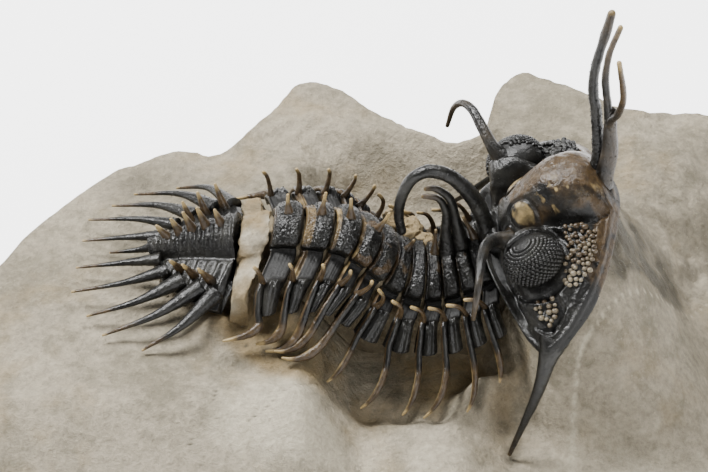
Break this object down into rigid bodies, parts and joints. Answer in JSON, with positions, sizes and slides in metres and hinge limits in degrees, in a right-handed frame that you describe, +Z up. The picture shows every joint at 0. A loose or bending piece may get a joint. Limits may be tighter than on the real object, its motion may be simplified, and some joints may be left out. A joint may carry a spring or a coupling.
{
  "type": "fossil walliserops hammii trilobite",
  "caption": "Spiny trilobite with a three-pronged head fork, prepared in relief on a loose block of limestone.",
  "frame": {"origin": "on the flat underside of the stone block, below the middle of the trilobite", "axes": "+X from tail to head along the body, +Y towards the animal's left side, +Z up, out of the flat underside"},
  "size_m": [0.1012, 0.0772, 0.0545],
  "materials": {
    "limestone": "dull, fine-grained natural stone, grey-beige",
    "exoskeleton": "near-black calcite shell, satin to glossy"
  },
  "bodies": {
    "root": {"matrix": "limestone", "cephalon": "exoskeleton", "thoracic_segment_01": "exoskeleton", "thoracic_segment_02": "exoskeleton", "thoracic_segment_03": "exoskeleton", "thoracic_segment_04": "exoskeleton", "thoracic_segment_05": "exoskeleton", "thoracic_segment_06": "exoskeleton", "thoracic_segment_07": "exoskeleton", "thoracic_segment_08": "exoskeleton", "thoracic_segment_09": "exoskeleton", "thoracic_segment_10": "exoskeleton", "thoracic_segment_11": "exoskeleton", "pygidium": "exoskeleton"}
  },
  "joints": []
}
